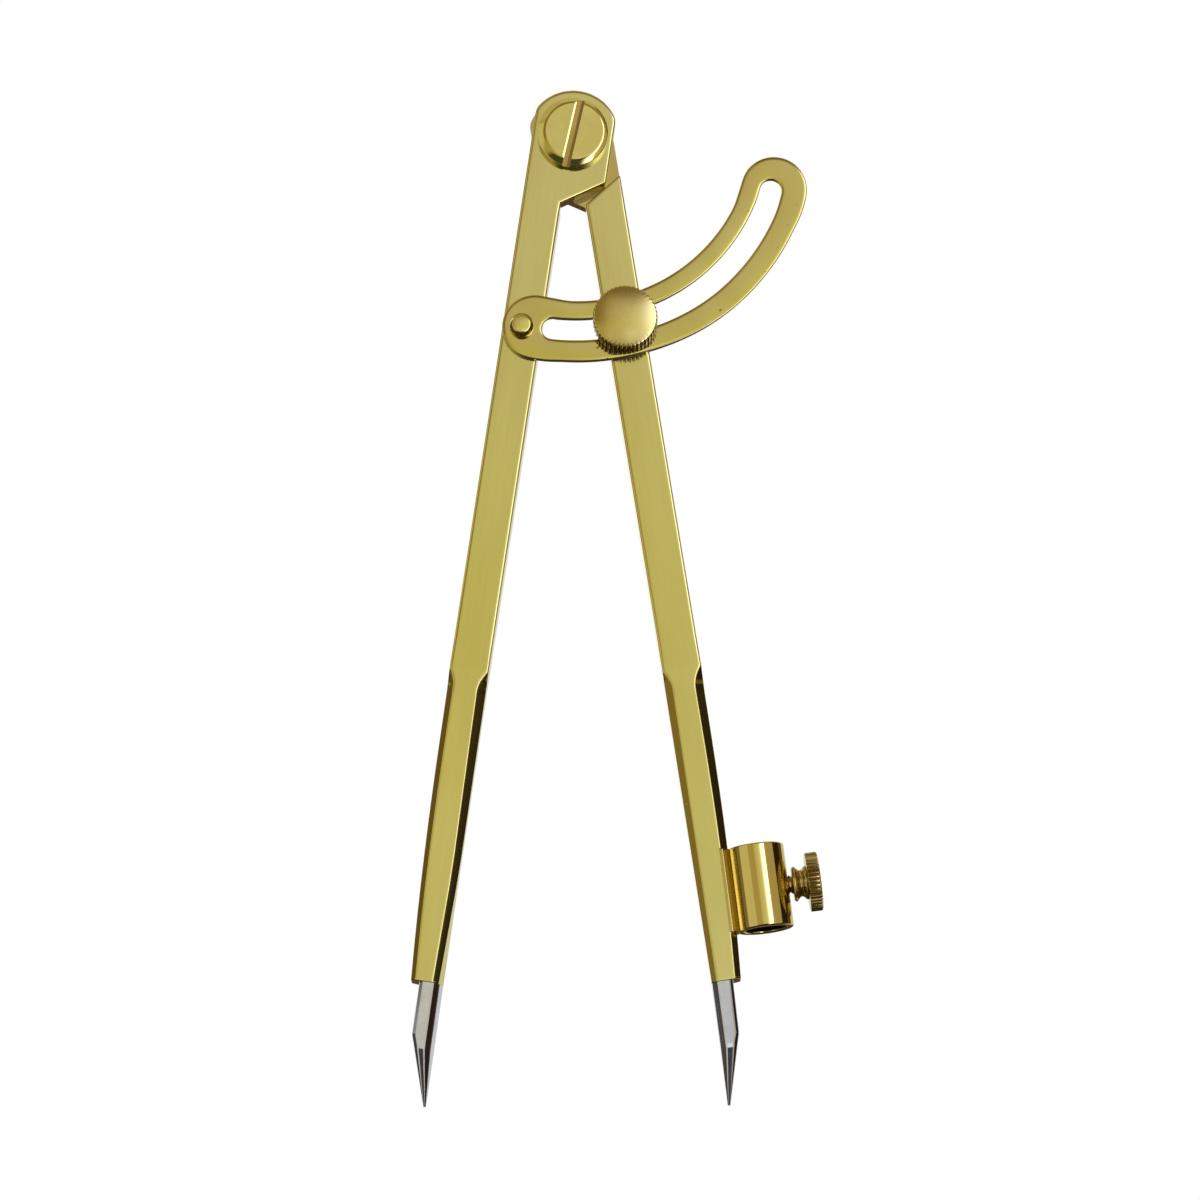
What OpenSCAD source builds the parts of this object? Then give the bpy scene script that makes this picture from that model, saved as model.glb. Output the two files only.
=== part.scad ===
// Brass wing divider with steel points and a pencil holder on the right leg.
// Sizes are in millimetres. +X is right and +Z is up as seen from the front, and -Y is the front.
// The origin is the centre of the pivot, on the plane where the two heads meet.

/* [Legs] */
// Width of each leg, seen from the front
leg_width = 7.5; // [6.8:0.1:8.5]
// Thickness of each leg, front to back
leg_thickness = 7.5; // [6.5:0.1:9]
// Distance from the pivot's axis to the inner face of each leg, above the taper
leg_gap = 0.3; // [0.1:0.1:0.6]
// Half of the angle between the inner faces of the legs
half_spread = 8.7; // [2:0.1:30]
// Distance from the pivot to the start of the taper
taper_start = 107; // [95:1:115]
// Distance from the pivot to the brass ends
brass_length = 167.5; // [163:0.5:172]
// Width of each brass end
end_width = 5.8; // [5.2:0.1:6.4]
// Thickness of each brass end
end_thickness = 5.8; // [5.2:0.1:6.4]
// Size of the corner chamfers where the taper starts
chamfer_start = 1.6; // [1.2:0.1:2]
// Size of the corner chamfers at the brass ends
chamfer_end = 1.05; // [0.7:0.05:1.3]
// Radius of the curve that ends each chamfer
runout_radius = 10; // [5:0.5:15]

/* [Heads] */
// Radius of the round top of each head
head_radius = 9; // [8.8:0.1:10]
// Distance from the pivot to the lower edge of each head, along the inner face
head_drop = 13.8; // [12.5:0.1:16]
// Slope of the head's lower edge and of the shoulder below it
lap_angle = 33; // [25:1:38]
// Gap between a head's lower edge and the shoulder below it
shoulder_gap = 0.7; // [0.5:0.1:1.5]

/* [Pivot] */
// Diameter of the screw head where it meets the leg
screw_head_dia = 13.7; // [12.5:0.1:14.5]
// Diameter of the flat top of the screw head
screw_top_dia = 11.5; // [9:0.1:12]
// Height of the screw head
screw_head_height = 2.3; // [2.2:0.1:4]
// Height of the straight wall of the screw head
screw_wall_height = 1.8; // [0.3:0.1:2]
// Width of the screwdriver slot
driver_slot_width = 1.5; // [1:0.1:2]
// Depth of the screwdriver slot
driver_slot_depth = 1.3; // [0.8:0.1:2]
// Lean of the screwdriver slot from upright
driver_slot_lean = 13; // [-90:1:90]
// Diameter of the pivot screw's shank
pivot_dia = 6; // [5:0.1:7]
// Radial clearance of the pivot screw in the heads
pivot_clearance = 0.05; // [0.02:0.01:0.1]
// Outside diameter of the washer behind the heads
washer_dia = 13; // [11.5:0.1:14.5]
// Thickness of the washer behind the heads
washer_thickness = 0.8; // [0.5:0.1:1.5]
// Width of the nut across its flats
nut_flats = 10; // [9:0.1:11]
// Thickness of the nut
nut_thickness = 3.5; // [2.5:0.1:5]
// Length of the shank that stands out of the nut
shank_end = 0.4; // [0.2:0.1:1]

/* [Points] */
// Length of each steel point below its brass end
point_length = 23.1; // [18:0.1:28]
// Width of each steel point
point_width = 4.45; // [4:0.05:4.9]
// Step from a brass end's front or back face to the steel
point_step = 0.15; // [0.1:0.05:0.4]
// Length of the slope on the outer side of each point
outer_slope_length = 13; // [9:0.1:14]
// Length of the slopes on the front and back of each point
face_slope_length = 10.6; // [7:0.1:14]
// Size of the chamfer on the outer corners of each point
point_chamfer = 0.6; // [0.4:0.05:1]
// Width of the flat left at each tip
tip_width = 0.4; // [0.2:0.05:0.6]
// Diameter of each point's tang
tang_dia = 2.6; // [2:0.1:3]
// Length of each point's tang
tang_length = 12; // [8:0.5:16]

/* [Wing] */
// Radius of the middle of the wing's arc
wing_radius = 39.8; // [36:0.2:44]
// Width of the wing's arc
wing_width = 12.2; // [11.4:0.1:12.5]
// Thickness of the wing
wing_thickness = 1.2; // [1:0.1:2.5]
// Radius of the wing's rounded ends
wing_end_radius = 6.35; // [6.3:0.05:7]
// Width of the wing's slot
wing_slot_width = 4.3; // [4:0.1:4.8]
// Distance from the middle of the wing's arc in to the middle of its slot
slot_inset = 0.3; // [0:0.1:0.6]
// Angle from the left leg's inner face to the middle of the fixed end
fixed_end_angle = -3.2; // [-5:0.1:-2]
// Angle from the left leg's inner face to the start of the slot
slot_start_angle = 2.5; // [2:0.1:8]
// Angle from the left leg's inner face to the end of the slot
slot_end_angle = 82.3; // [75:0.1:88]
// Diameter of the rivet's head where it meets the wing
rivet_head_dia = 4.7; // [4:0.1:5]
// Diameter of the flat top of the rivet's head
rivet_top_dia = 3.6; // [3:0.1:3.9]
// Height of the rivet's head
rivet_head_height = 2.2; // [1.6:0.1:2.6]
// Height of the straight wall of the rivet's head
rivet_wall_height = 1.2; // [0.6:0.1:1.3]
// Diameter of the rivet's shank
rivet_dia = 3; // [2.4:0.1:3.4]
// Depth of the rivet in the leg
rivet_depth = 5; // [3:0.1:6]

/* [Lock] */
// Diameter of the lock stud
stud_dia = 3; // [2.6:0.1:3.1]
// Distance from the middle of the wing's slot in to the lock stud
stud_inset = 0.35; // [0:0.05:0.4]
// Depth of the lock stud in the leg
stud_depth = 5; // [3:0.1:5.2]
// Diameter of the lock knob
knob_dia = 12.4; // [11:0.1:14]
// Height of the lock knob
knob_height = 5.2; // [4.2:0.1:6.5]
// Height of the sloping rim at the top of the lock knob
knob_rim = 0.5; // [0.3:0.1:0.8]
// Depth of the stud's hole in the lock knob
knob_hole_depth = 3.2; // [2.4:0.1:3.4]
// Number of knurl grooves around the lock knob
knob_grooves = 44; // [30:1:56]

/* [Pencil holder] */
// Distance from the brass end up to the middle of the holder
holder_rise = 16.9; // [12:0.1:22]
// Outside diameter of the holder
tube_dia = 10.6; // [10:0.1:12]
// Thickness of the holder's wall, which leaves its bore for a pencil
tube_wall = 1.3; // [0.9:0.1:1.6]
// Length of the holder
tube_length = 16; // [12:0.2:18]
// Distance from the leg's outer face to the holder's flat
pad_reach = 0.8; // [0.6:0.1:2]
// Depth of the pad's seat in the leg
pad_seat = 1.2; // [0.8:0.1:1.6]
// Step from the leg's front or back face to the pad
pad_step = 0.2; // [0.1:0.05:0.5]
// Depth of the flat on the holder where the pad meets it
tube_flat = 0.25; // [0.15:0.05:0.5]

/* [Pencil clamp] */
// Diameter of the clamp screw
clamp_dia = 3.6; // [3:0.1:4.2]
// Gap between the holder and the clamp's collar
collar_gap = 0.7; // [0.65:0.05:1.5]
// Diameter of the clamp's collar
collar_dia = 6.7; // [6:0.1:7.5]
// Thickness of the clamp's collar
collar_thickness = 0.8; // [0.5:0.1:1.2]
// Least diameter of the clamp's neck
neck_dia = 4.9; // [4.7:0.1:5.4]
// Length of the clamp's neck
neck_length = 2; // [1.4:0.1:3]
// Diameter of the clamp's head
clamp_head_dia = 11.2; // [9.5:0.1:12.5]
// Thickness of the clamp's head
clamp_head_thickness = 2.6; // [1.8:0.1:3.4]
// Number of knurl grooves around the clamp's head
clamp_grooves = 48; // [30:1:54]
// Depth of the clamp screw in the clamp's head
clamp_grip = 3.4; // [2.4:0.1:3.8]

/* [Fits] */
// Radial clearance of the threaded and turning fits
thread_clearance = 0.05; // [0.02:0.01:0.1]
// Radial clearance of the fixed pins and tangs
seat_clearance = 0.02; // [0.01:0.01:0.05]
// Depth of the knurl grooves
groove_depth = 0.25; // [0.15:0.05:0.3]
// Extra depth of each blind hole past its pin
hole_relief = 0.5; // [0.2:0.1:1]

/* [Hidden] */
$fn = 96;
half_thickness = leg_thickness / 2;
front = -half_thickness;
wing_front = front - wing_thickness;
outer_face = leg_gap + leg_width;
lap_slope = tan(lap_angle);
lap_rise = (leg_gap + outer_face) * lap_slope;
taper_length = brass_length - taper_start;
tip_drop = brass_length + point_length;
holder_drop = brass_length - holder_rise;
bore_dia = tube_dia - 2 * tube_wall;
taper_slope = (outer_face - end_width) / taper_length;
taper_angle = atan(taper_slope);
face_slope = (leg_thickness - end_thickness) / 2 / taper_length;
cut_past = 4;
root = 0.5;
point_thickness = end_thickness - 2 * point_step;
tang_x = -point_width / 2;
leg_middle = leg_gap + leg_width / 2;
slot_radius = wing_radius - slot_inset;
rivet_drop = sqrt(pow(wing_radius, 2) - pow(leg_middle, 2));
lock_drop = sqrt(pow(slot_radius - stud_inset, 2) - pow(leg_middle, 2));
pad_thickness = leg_thickness - 2 * face_slope * (holder_drop + tube_length / 2 - taper_start) - 2 * pad_step;
holder_x = outer_face - taper_slope * (holder_drop - taper_start);
tube_x = pad_reach + tube_dia / 2 - tube_flat;
clamp_tip = tube_x + bore_dia / 2;
collar_x = tube_x + tube_dia / 2 + collar_gap;
neck_x = collar_x + collar_thickness;
clamp_head_x = neck_x + neck_length;
brass = [0.76, 0.66, 0.32];
steel = [0.68, 0.69, 0.71];

// Drawing planes and places

// Draws a front-view outline as a plate from one depth to another
module plate(from_y, to_y) {
    translate([0, to_y, 0])
        rotate([90, 0, 0])
            linear_extrude(to_y - from_y)
                children();
}

// Draws a side-view outline across the whole width of a leg
module across() {
    translate([-2 * leg_width, 0, 0])
        rotate([90, 0, 90])
            linear_extrude(4 * leg_width)
                children();
}

// A round bar that points to the front, between two depths
module front_bar(dia, from_y, to_y) {
    translate([0, to_y, 0])
        rotate([90, 0, 0])
            cylinder(d = dia, h = to_y - from_y);
}

// Turns the left leg and all it carries to the drawn spread
module on_left() {
    rotate([0, half_spread, 0])
        children();
}

// Turns the right leg and all it carries to the drawn spread
module on_right() {
    rotate([0, -half_spread, 0])
        children();
}

// The place on the right leg's outer face where the holder sits, with +X away from the leg
module on_holder() {
    on_right()
        translate([holder_x, 0, -holder_drop])
            rotate([0, taper_angle, 0])
                children();
}

// A round bar that points away from the leg, between two distances
module side_bar(dia, from_x, to_x) {
    translate([from_x, 0, 0])
        rotate([0, 90, 0])
            cylinder(d = dia, h = to_x - from_x);
}

// Places a turned piece so that its axis points away from the leg
module turned_outward() {
    rotate([0, 90, 0])
        children();
}

// Legs, drawn closed, with the inner face beside the middle plane and its end on it

// Front-view outline of the half of a leg that carries its head
module head_half() {
    intersection() {
        circle(r = head_radius);
        translate([-outer_face, 0])
            square([2 * outer_face, head_radius + 1]);
    }
    polygon([
        [-outer_face, 0],
        [outer_face, 0],
        [outer_face, lap_rise - head_drop],
        [-leg_gap, -head_drop],
        [-leg_gap, -taper_start],
        [0, -brass_length],
        [-end_width, -brass_length],
        [-outer_face, -taper_start]
    ]);
}

// Front-view outline of the half of a leg that ends in the shoulder
module shoulder_half() {
    shoulder = head_drop + shoulder_gap;
    polygon([
        [-leg_gap, 2 * leg_gap * lap_slope - shoulder],
        [-leg_gap, -taper_start],
        [0, -brass_length],
        [-end_width, -brass_length],
        [-outer_face, -taper_start],
        [-outer_face, lap_rise - shoulder]
    ]);
}

// Side-view outline of a leg, thinner towards its end
module side_outline() {
    low = brass_length + cut_past;
    low_half = end_thickness / 2 - face_slope * cut_past;
    polygon([
        [-half_thickness, head_radius + 1],
        [-half_thickness, -taper_start],
        [-low_half, -low],
        [low_half, -low],
        [half_thickness, -taper_start],
        [half_thickness, head_radius + 1]
    ]);
}

// Cuts one long corner of a leg at 45 degrees, with a curved end at the top
module corner_cut(turn, reach_top, reach_end) {
    cut_slope = (reach_top - reach_end) / sqrt(2) / taper_length;
    depth = chamfer_start / sqrt(2);
    runout = sqrt(2 * runout_radius * depth - pow(depth, 2));
    start = taper_start + runout;
    top = reach_top / sqrt(2) - cut_slope * runout;
    low = reach_end / sqrt(2) - cut_slope * cut_past;
    rotate([0, 0, turn])
        rotate([90, 0, 0])
            linear_extrude(leg_width + leg_thickness, center = true) {
                polygon([
                    [top, -start],
                    [top + runout_radius, -start],
                    [top + runout_radius, -brass_length - cut_past],
                    [low, -brass_length - cut_past]
                ]);
                translate([top + runout_radius, -start])
                    circle(r = runout_radius);
            }
}

// The bar that both legs are made from, with its pivot hole and tang hole
module leg_bar() {
    outer_top = outer_face + half_thickness - chamfer_start;
    outer_end = end_width + end_thickness / 2 - chamfer_end;
    inner_top = half_thickness - leg_gap - chamfer_start;
    inner_end = end_thickness / 2 - chamfer_end;
    hole_length = tang_length + hole_relief;
    difference() {
        intersection() {
            union() {
                plate(front, 0)
                    head_half();
                plate(0, half_thickness)
                    shoulder_half();
            }
            across()
                side_outline();
        }
        corner_cut(-135, outer_top, outer_end);
        corner_cut(135, outer_top, outer_end);
        corner_cut(-45, inner_top, inner_end);
        corner_cut(45, inner_top, inner_end);
        front_bar(pivot_dia + 2 * pivot_clearance, front - 1, 1);
        translate([tang_x, 0, -brass_length - 1])
            cylinder(d = tang_dia + 2 * seat_clearance, h = hole_length + 1);
    }
}

// Steel point, drawn closed below the left leg
module point_corner(turn, reach) {
    rotate([0, 0, turn])
        translate([reach / sqrt(2), -leg_width, -tip_drop - 1])
            cube([leg_width, 2 * leg_width, tip_drop - brass_length + 2]);
}

module steel_point() {
    half_steel = point_thickness / 2;
    difference() {
        intersection() {
            plate(-half_steel, half_steel)
                polygon([
                    [0, -brass_length],
                    [0, -tip_drop],
                    [-tip_width, -tip_drop],
                    [-point_width, -tip_drop + outer_slope_length],
                    [-point_width, -brass_length]
                ]);
            across()
                polygon([
                    [-half_steel, -brass_length + 1],
                    [-half_steel, -tip_drop + face_slope_length],
                    [-tip_width / 2, -tip_drop],
                    [-tip_width / 2, -tip_drop - 1],
                    [tip_width / 2, -tip_drop - 1],
                    [tip_width / 2, -tip_drop],
                    [half_steel, -tip_drop + face_slope_length],
                    [half_steel, -brass_length + 1]
                ]);
        }
        point_corner(-135, point_width + half_steel - point_chamfer);
        point_corner(135, point_width + half_steel - point_chamfer);
        point_corner(-45, half_steel - chamfer_end);
        point_corner(45, half_steel - chamfer_end);
    }
    translate([tang_x, 0, -brass_length - root])
        cylinder(d = tang_dia, h = tang_length + root);
}

// Knurled rims

// A turned disc with a straight knurled band and a plain sloping rim above and below it
module knurled_disc(dia, height, rim, grooves) {
    rim_radius = dia / 2 - 1.4 * groove_depth;
    translate([0, 0, rim])
        linear_extrude(height - 2 * rim)
            difference() {
                circle(d = dia);
                for (i = [0 : grooves - 1])
                    rotate(i * 360 / grooves)
                        translate([dia / 2, 0])
                            rotate(45)
                                square(groove_depth * sqrt(2), center = true);
            }
    cylinder(r1 = rim_radius - rim / 2, r2 = rim_radius, h = rim);
    translate([0, 0, height - rim])
        cylinder(r1 = rim_radius, r2 = rim_radius - rim / 2, h = rim);
}

// Pivot

module pivot_screw() {
    color(brass) {
        difference() {
            translate([0, front, 0])
                rotate([90, 0, 0])
                    rotate_extrude()
                        polygon([
                            [0, 0],
                            [screw_head_dia / 2, 0],
                            [screw_head_dia / 2, screw_wall_height],
                            [screw_top_dia / 2, screw_head_height],
                            [0, screw_head_height]
                        ]);
            rotate([0, driver_slot_lean, 0])
                translate([-driver_slot_width / 2, front - screw_head_height - 1, -screw_head_dia])
                    cube([driver_slot_width, driver_slot_depth + 1, 2 * screw_head_dia]);
        }
        front_bar(pivot_dia, front - root, half_thickness + washer_thickness + nut_thickness + shank_end);
    }
}

module pivot_washer() {
    color(brass)
        difference() {
            front_bar(washer_dia, half_thickness, half_thickness + washer_thickness);
            front_bar(pivot_dia + 2 * pivot_clearance, 0, leg_thickness + washer_thickness);
        }
}

module pivot_nut() {
    nut_y = half_thickness + washer_thickness;
    color(brass)
        difference() {
            translate([0, nut_y + nut_thickness, 0])
                rotate([90, 0, 0])
                    cylinder(d = nut_flats / cos(30), h = nut_thickness, $fn = 6);
            front_bar(pivot_dia + 2 * seat_clearance, 0, nut_y + 2 * nut_thickness);
        }
}

// Left leg, with the wing fixed to it

module left_leg() {
    color(brass)
        on_left()
            difference() {
                leg_bar();
                translate([-leg_middle, 0, -rivet_drop])
                    front_bar(rivet_dia + 2 * seat_clearance, front - 1, front + rivet_depth + hole_relief);
            }
}

module left_point() {
    color(steel)
        on_left()
            steel_point();
}

// Places a round end of the wing or of its slot, at an angle from the left leg's inner face
module at_wing_angle(radius, angle) {
    rotate(angle)
        translate([0, -radius])
            children();
}

// The part of a ring between two angles from the left leg's inner face
module ring_part(radius, width, from_angle, to_angle) {
    reach = 3 * radius;
    middle = (from_angle + to_angle) / 2;
    intersection() {
        difference() {
            circle(r = radius + width / 2);
            circle(r = radius - width / 2);
        }
        polygon([
            [0, 0],
            [reach * sin(from_angle), -reach * cos(from_angle)],
            [reach * sin(middle), -reach * cos(middle)],
            [reach * sin(to_angle), -reach * cos(to_angle)]
        ]);
    }
}

module wing() {
    color(brass)
        on_left()
            difference() {
                plate(wing_front, front)
                    difference() {
                        union() {
                            ring_part(wing_radius, wing_width, fixed_end_angle, slot_end_angle);
                            at_wing_angle(wing_radius, fixed_end_angle)
                                circle(r = wing_end_radius);
                            at_wing_angle(wing_radius, slot_end_angle)
                                circle(r = wing_end_radius);
                        }
                        ring_part(slot_radius, wing_slot_width, slot_start_angle, slot_end_angle);
                        at_wing_angle(slot_radius, slot_start_angle)
                            circle(d = wing_slot_width);
                        at_wing_angle(slot_radius, slot_end_angle)
                            circle(d = wing_slot_width);
                    }
                translate([-leg_middle, 0, -rivet_drop])
                    front_bar(rivet_dia + 2 * seat_clearance, wing_front - 1, front + 1);
            }
}

module wing_rivet() {
    color(brass)
        on_left()
            translate([-leg_middle, 0, -rivet_drop]) {
                translate([0, wing_front, 0])
                    rotate([90, 0, 0])
                        rotate_extrude()
                            polygon([
                                [0, 0],
                                [rivet_head_dia / 2, 0],
                                [rivet_head_dia / 2, rivet_wall_height],
                                [rivet_top_dia / 2, rivet_head_height],
                                [0, rivet_head_height]
                            ]);
                front_bar(rivet_dia, wing_front - root, front + rivet_depth);
            }
}

// Right leg, with the lock and the pencil holder on it

module right_leg() {
    color(brass)
        difference() {
            on_right()
                difference() {
                    rotate([0, 0, 180])
                        leg_bar();
                    translate([leg_middle, 0, -lock_drop])
                        front_bar(stud_dia + 2 * thread_clearance, front - 1, front + stud_depth + hole_relief);
                }
            on_holder()
                translate([-pad_seat, -leg_thickness, -tube_length / 2])
                    cube([2 * pad_seat, 2 * leg_thickness, tube_length]);
        }
}

module right_point() {
    color(steel)
        on_right()
            rotate([0, 0, 180])
                steel_point();
}

module lock_stud() {
    color(brass)
        on_right()
            translate([leg_middle, 0, -lock_drop])
                front_bar(stud_dia, wing_front - knob_hole_depth + hole_relief, front + stud_depth);
}

module lock_knob() {
    color(brass)
        on_right()
            translate([leg_middle, 0, -lock_drop])
                difference() {
                    translate([0, wing_front, 0])
                        rotate([90, 0, 0])
                            knurled_disc(knob_dia, knob_height, knob_rim, knob_grooves);
                    front_bar(stud_dia + 2 * thread_clearance, wing_front - knob_hole_depth, front);
                }
}

module holder_pad() {
    color(brass)
        on_holder()
            translate([-pad_seat, -pad_thickness / 2, -tube_length / 2])
                cube([pad_seat + pad_reach, pad_thickness, tube_length]);
}

module pencil_holder() {
    color(brass)
        on_holder()
            difference() {
                translate([tube_x, 0, -tube_length / 2])
                    cylinder(d = tube_dia, h = tube_length);
                translate([tube_x, 0, -tube_length])
                    cylinder(d = bore_dia, h = 2 * tube_length);
                translate([pad_reach - tube_dia, -tube_dia, -tube_length])
                    cube([tube_dia, 2 * tube_dia, 2 * tube_length]);
                side_bar(clamp_dia + 2 * thread_clearance, tube_x, tube_x + tube_dia);
            }
}

module clamp_screw() {
    color(brass)
        on_holder()
            side_bar(clamp_dia, clamp_tip, collar_x + clamp_grip - hole_relief / 2);
}

// The clamp's collar, concave neck and knurled head, turned on one axis
module clamp_knob() {
    waist = (collar_dia - neck_dia) / 2;
    cove = (pow(neck_length / 2, 2) + pow(waist, 2)) / (2 * waist);
    color(brass)
        on_holder()
            difference() {
                turned_outward()
                    union() {
                        rotate_extrude()
                            difference() {
                                translate([0, collar_x])
                                    square([collar_dia / 2, clamp_head_x + root - collar_x]);
                                intersection() {
                                    translate([neck_dia / 2 + cove, neck_x + neck_length / 2])
                                        circle(r = cove);
                                    translate([0, neck_x])
                                        square([collar_dia, neck_length]);
                                }
                            }
                        translate([0, 0, clamp_head_x])
                            knurled_disc(clamp_head_dia, clamp_head_thickness, 0.3, clamp_grooves);
                    }
                side_bar(clamp_dia + 2 * thread_clearance, collar_x - 1, collar_x + clamp_grip);
            }
}

pivot_screw();
pivot_washer();
pivot_nut();
left_leg();
left_point();
wing();
wing_rivet();
right_leg();
right_point();
holder_pad();
pencil_holder();
lock_stud();
lock_knob();
clamp_screw();
clamp_knob();
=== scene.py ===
from math import atan2, cos, degrees, pi, radians, sin, sqrt, tan
import bmesh
import bpy
from mathutils import Matrix, Vector


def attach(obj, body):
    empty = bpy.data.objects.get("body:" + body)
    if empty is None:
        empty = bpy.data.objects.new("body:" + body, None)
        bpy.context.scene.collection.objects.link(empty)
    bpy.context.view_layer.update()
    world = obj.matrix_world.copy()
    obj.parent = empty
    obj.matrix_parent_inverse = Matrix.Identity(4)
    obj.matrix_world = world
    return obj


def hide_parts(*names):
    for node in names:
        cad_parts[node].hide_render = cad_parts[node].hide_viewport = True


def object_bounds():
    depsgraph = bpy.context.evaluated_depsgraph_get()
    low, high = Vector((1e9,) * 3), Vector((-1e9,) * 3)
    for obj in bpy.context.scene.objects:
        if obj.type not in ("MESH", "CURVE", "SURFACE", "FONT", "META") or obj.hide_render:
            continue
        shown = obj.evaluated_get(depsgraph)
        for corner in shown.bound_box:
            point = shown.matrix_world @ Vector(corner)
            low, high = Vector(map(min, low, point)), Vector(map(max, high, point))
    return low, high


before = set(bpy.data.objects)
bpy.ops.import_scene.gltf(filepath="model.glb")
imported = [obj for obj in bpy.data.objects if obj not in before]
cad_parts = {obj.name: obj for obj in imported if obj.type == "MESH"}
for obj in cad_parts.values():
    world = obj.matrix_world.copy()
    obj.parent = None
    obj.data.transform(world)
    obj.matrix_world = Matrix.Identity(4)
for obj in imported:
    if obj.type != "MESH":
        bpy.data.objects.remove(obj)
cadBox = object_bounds()
mm = 0.001  # every piece is drawn in millimetres and shrunk to metres when it is finished
slack, tiny, hair = 1e-3, 1e-4, 1e-5  # tolerances
faceOn = 0.995  # a flat's normal has at least this share along its axis
origin = Vector((0, 0, 0))

# places on the tool

spread = radians(8.7)  # half the angle between the legs
onLeft = Matrix.Rotation(spread, 4, "Y")
onRight = Matrix.Rotation(-spread, 4, "Y")
halfTurn = Matrix.Rotation(pi, 4, "Z")  # the right leg is drawn as a left one and turned round
toFront = Matrix.Rotation(pi / 2, 4, "X")  # lathe axis towards the front
toBack = Matrix.Rotation(-pi / 2, 4, "X")
toSide = Matrix.Rotation(pi / 2, 4, "Y")  # lathe axis away from the right leg
frontFace, backFace = -3.75, 3.75  # of the legs
wingFace = -4.95
lockSpot = Vector((4.05, 0, -38.94))  # knob and stud, on the right leg
rivetSpot = Vector((-4.05, 0, -39.59))  # on the left leg
holderSpot = (6.3587, 0, -150.6)  # on the right leg
holderLean = radians(1.8934)  # the leg's taper
onHolder = onRight @ Matrix.Translation(holderSpot) @ Matrix.Rotation(holderLean, 4, "Y")
clampSpot = Vector((12, 0, 0))  # on the holder


# mesh helpers

def vertsOf(geom):
    return [part for part in geom if isinstance(part, bmesh.types.BMVert)]


def edgesOf(geom):
    return [part for part in geom if isinstance(part, bmesh.types.BMEdge)]


def clamped(share):
    return min(1, max(0, share))


def eased(share):  # soft step from 0 to 1
    share = clamped(share)
    return share * share * (3 - 2 * share)


def spotKey(spot, digits):
    return tuple(round(value, digits) for value in spot)


def clean(bm):
    bmesh.ops.remove_doubles(bm, verts=bm.verts[:], dist=tiny)
    bmesh.ops.recalc_face_normals(bm, faces=bm.faces[:])


def turned(profile, steps=96, closed=False):  # lathe about +Z, profile is (radius, height)
    bm = bmesh.new()
    verts = [bm.verts.new((radius, 0, height)) for radius, height in profile]
    edges = [bm.edges.new(pair) for pair in zip(verts, verts[1:])]
    if closed:
        edges.append(bm.edges.new((verts[-1], verts[0])))
    bmesh.ops.spin(bm, geom=verts + edges, cent=origin, axis=(0, 0, 1), angle=2 * pi, steps=steps,
        use_merge=True)
    clean(bm)
    return bm


def rimProfile(radius, level, steps, way=1):  # each step goes in from the radius and away from the level
    return [(radius - inset, level + way * rise) for inset, rise in steps]


def dome(radius, level, crown, count, first=0):  # profile of a crowned face, from its rim to the middle
    shares = [1 - i / count for i in range(first, count + 1)]
    return [(radius * share, level + crown * (1 - share ** 2)) for share in shares]


def roundOff(bm, edges, width, segments=3):
    bmesh.ops.bevel(bm, geom=edges, offset=width, offset_type="OFFSET", affect="EDGES", segments=segments,
        profile=0.5, material=-1, clamp_overlap=False)


def cornerEdges(bm, angle):  # edges that turn by more than this
    return [edge for edge in bm.edges
        if len(edge.link_faces) == 2 and edge.calc_face_angle(0) > radians(angle)]


def softRim(bm, faces, width, rise):  # a polished flat stands a little above its worn rim
    bmesh.ops.inset_region(bm, faces=faces, use_boundary=True, use_even_offset=True, thickness=width,
        depth=rise)


def push(bm, faces, depth):  # draws the faces out along Y
    drawn = bmesh.ops.extrude_face_region(bm, geom=faces)["geom"]
    bmesh.ops.translate(bm, vec=(0, depth, 0), verts=vertsOf(drawn))


def arcPath(bm, vert, arcs):  # a line of arcs, each with its centre, axis, angle and steps
    for centre, axis, angle, steps in arcs:
        last = bmesh.ops.spin(bm, geom=[vert], cent=centre, axis=axis, angle=angle, steps=steps)["geom_last"]
        vert = vertsOf(last)[0]


def bar(radius, start, end, steps=64):  # plain round bar along +Z
    bm = bmesh.new()
    bmesh.ops.create_cone(bm, cap_ends=True, segments=steps, radius1=radius, radius2=radius,
        depth=end - start)
    bmesh.ops.translate(bm, vec=(0, 0, (start + end) / 2), verts=bm.verts[:])
    return bm


def block(low, high):
    bm = bmesh.new()
    bmesh.ops.create_cube(bm, size=1)
    size = Vector(high) - Vector(low)
    bmesh.ops.scale(bm, vec=size, verts=bm.verts[:])
    bmesh.ops.translate(bm, vec=Vector(low) + size / 2, verts=bm.verts[:])
    return bm


def sliceOff(bm, point, normal):  # keeps what lies behind the plane
    cut = bmesh.ops.bisect_plane(bm, geom=bm.verts[:] + bm.edges[:] + bm.faces[:], dist=hair, plane_co=point,
        plane_no=normal, clear_outer=True)
    bmesh.ops.holes_fill(bm, edges=edgesOf(cut["geom_cut"]), sides=0)


def moved(bm, place):
    bmesh.ops.transform(bm, matrix=place, verts=bm.verts[:])
    return bm


def meshOf(name, bm):
    mesh = bpy.data.meshes.new(name)
    bm.to_mesh(mesh)
    bm.free()
    return mesh


def placed(name, data):
    piece = bpy.data.objects.new(name, data)
    bpy.context.scene.collection.objects.link(piece)
    return piece


def joined(*parts):
    whole = bmesh.new()
    for part in parts:
        mesh = meshOf("part", part)
        whole.from_mesh(mesh)
        bpy.data.meshes.remove(mesh)
    return whole


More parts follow.
